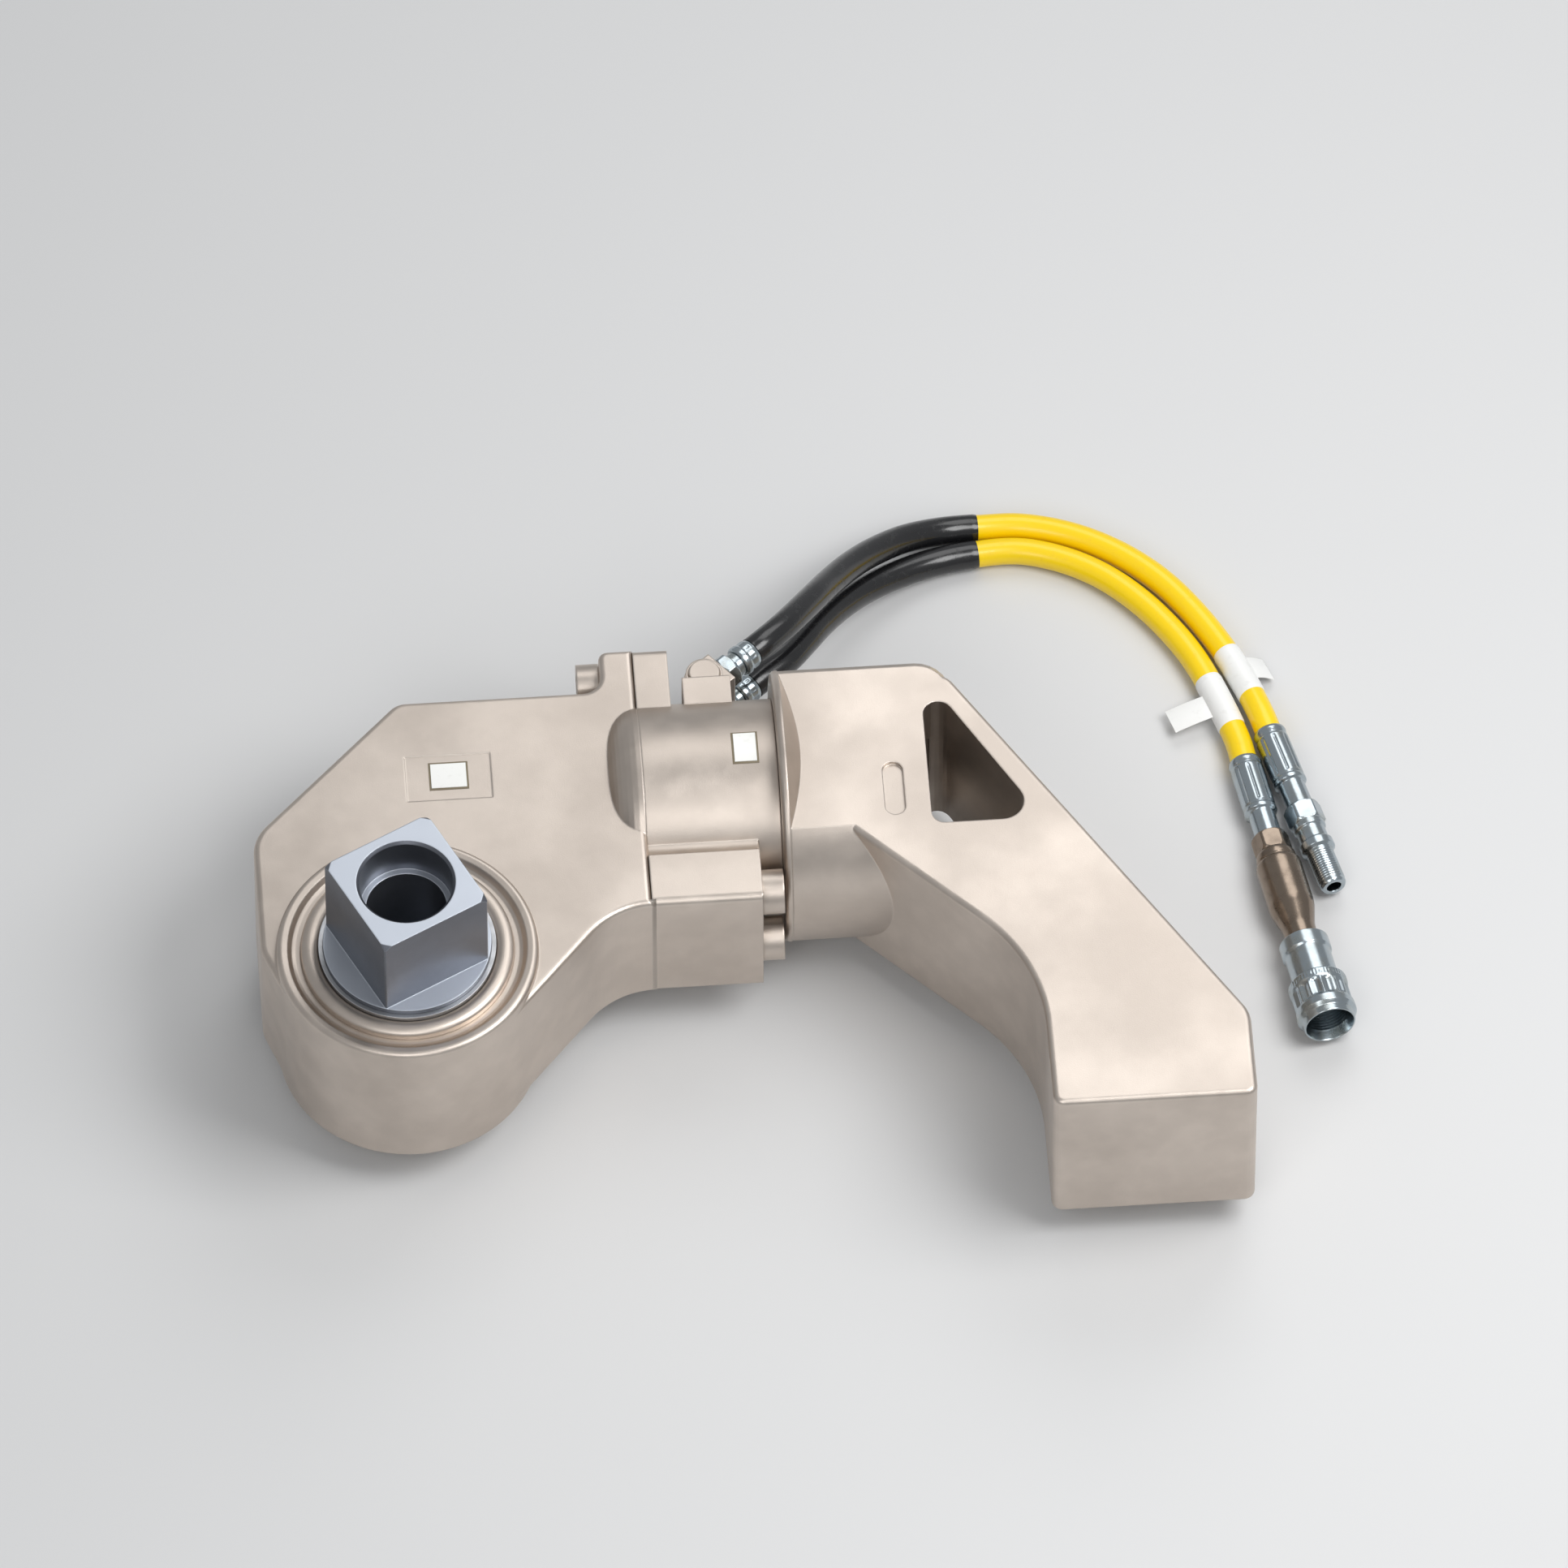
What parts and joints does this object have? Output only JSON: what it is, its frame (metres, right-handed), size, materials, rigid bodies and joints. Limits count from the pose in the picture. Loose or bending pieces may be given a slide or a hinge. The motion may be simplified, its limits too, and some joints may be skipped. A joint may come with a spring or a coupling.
{
  "type": "hydraulic torque wrench",
  "caption": "Hydraulic torque wrench with a flat ratchet head, square drive, cylinder, splined reaction arm with window and foot, swivel manifold and short hoses.",
  "frame": {"origin": "drive axis at the middle of the head's thickness", "axes": "+Z out of the square drive, +X along the cylinder towards the reaction arm"},
  "size_m": [0.5892, 0.4648, 0.1831],
  "materials": {
    "nickel_plate": "satin nickel plate",
    "phosphate_steel": "dark phosphate",
    "steel": "bright steel",
    "bronze": "satin bearing bronze",
    "zinc_plate": "bright zinc plate",
    "coupler_plate": "brownish nickel plate",
    "black_rubber": "glossy black",
    "yellow_hose": "glossy yellow",
    "seal_green": "matt"
  },
  "bodies": {
    "housing": {"drive_housing": "nickel_plate", "cylinder_housing": "nickel_plate", "housing_bolts": "nickel_plate", "locating_dowels": "steel", "upper_bush": "steel", "upper_cover_ring": "nickel_plate", "lower_bush": "bronze", "lower_cover_ring": "nickel_plate", "holding_pawl_pin": "steel", "holding_pawl_spring": "steel", "gland": "bronze", "rod_seal": "seal_green", "gland_o_ring": "black_rubber", "end_cap": "steel", "end_cap_o_ring": "black_rubber", "swivel_bracket": "nickel_plate", "bracket_screws": "steel", "swivel_bolt": "nickel_plate", "swivel_nut": "steel"},
    "piston_set": {"piston": "steel", "piston_seal": "seal_green", "wear_ring": "bronze", "piston_rod": "zinc_plate", "piston_nut": "steel"},
    "crank": {"upper_drive_plate": "steel", "lower_drive_plate": "steel", "crank_pin": "steel", "pawl_pin": "steel", "spring_post": "steel", "drive_pawl_spring": "steel"},
    "drive": {"drive_spindle": "phosphate_steel", "ratchet_wheel": "steel", "retainer_cap": "nickel_plate", "retainer_screws": "steel", "button_spring": "steel"},
    "retainer_button": {"retainer_button": "steel"},
    "drive_pawl": {"drive_pawl": "steel"},
    "holding_pawl": {"holding_pawl": "steel"},
    "arm": {"reaction_arm": "nickel_plate", "lock_cap": "steel", "lock_spring": "steel"},
    "arm_lock": {"lock_button": "steel"},
    "swivel": {"swivel_block": "nickel_plate", "swivel_seals": "black_rubber", "hose_adapters": "zinc_plate", "manifold_ferrules": "zinc_plate", "front_guard": "black_rubber", "front_hose": "yellow_hose", "rear_guard": "black_rubber", "rear_hose": "yellow_hose", "end_ferrules": "zinc_plate", "coupler_body": "coupler_plate", "male_nipple": "zinc_plate"},
    "coupler_collar": {"coupler_collar": "zinc_plate"}
  },
  "joints": [
    {"name": "piston_stroke", "type": "slide", "parent": "housing", "child": "piston_set", "axis": [-1, 0, 0], "range_m": [0, 0.02868]},
    {"name": "crank_swing", "type": "hinge", "parent": "housing", "child": "crank", "pos_m": [0, 0, 0], "axis": [0, 0, 1], "range_deg": [0, 15]},
    {"name": "drive_turn", "type": "hinge", "parent": "housing", "child": "drive", "pos_m": [0, 0, 0], "axis": [0, 0, 1], "range_deg": [0, 15]},
    {"name": "drive_pawl_lift", "type": "hinge", "parent": "crank", "child": "drive_pawl", "pos_m": [0.02958, 0.05449, 0], "axis": [0, 0, -1], "range_deg": [0, 7], "deforming": ["drive_pawl_spring"]},
    {"name": "holding_pawl_drop", "type": "hinge", "parent": "housing", "child": "holding_pawl", "pos_m": [-0.06, 0.02, 0], "axis": [0, 0, 1], "range_deg": [0, 6.5], "deforming": ["holding_pawl_spring"]},
    {"name": "retainer_press", "type": "slide", "parent": "drive", "child": "retainer_button", "axis": [0, 0, 1], "range_m": [0, 0.004], "deforming": ["button_spring"]},
    {"name": "arm_index", "type": "hinge", "parent": "housing", "child": "arm", "pos_m": [0.205, 0.11, 0], "axis": [-1, 0, 0], "range_deg": [0, 180]},
    {"name": "arm_lock_press", "type": "slide", "parent": "arm", "child": "arm_lock", "axis": [0, -1, 0], "range_m": [0, 0.003], "deforming": ["lock_spring"]},
    {"name": "manifold_swivel", "type": "hinge", "parent": "housing", "child": "swivel", "pos_m": [0.171, 0.182, 0], "axis": [0, 0, 1], "range_deg": [0, 35]},
    {"name": "collar_spin", "type": "hinge", "parent": "swivel", "child": "coupler_collar", "pos_m": [0.49067, 0.00406, -0.05512], "axis": [0.1734, -0.9837, 0.0483], "continuous": true}
  ],
  "couplings": [
    {"joint": "crank_swing", "follows": "piston_stroke", "rad_per_m": 9.1256},
    {"joint": "drive_turn", "follows": "piston_stroke", "rad_per_m": 9.1256}
  ]
}
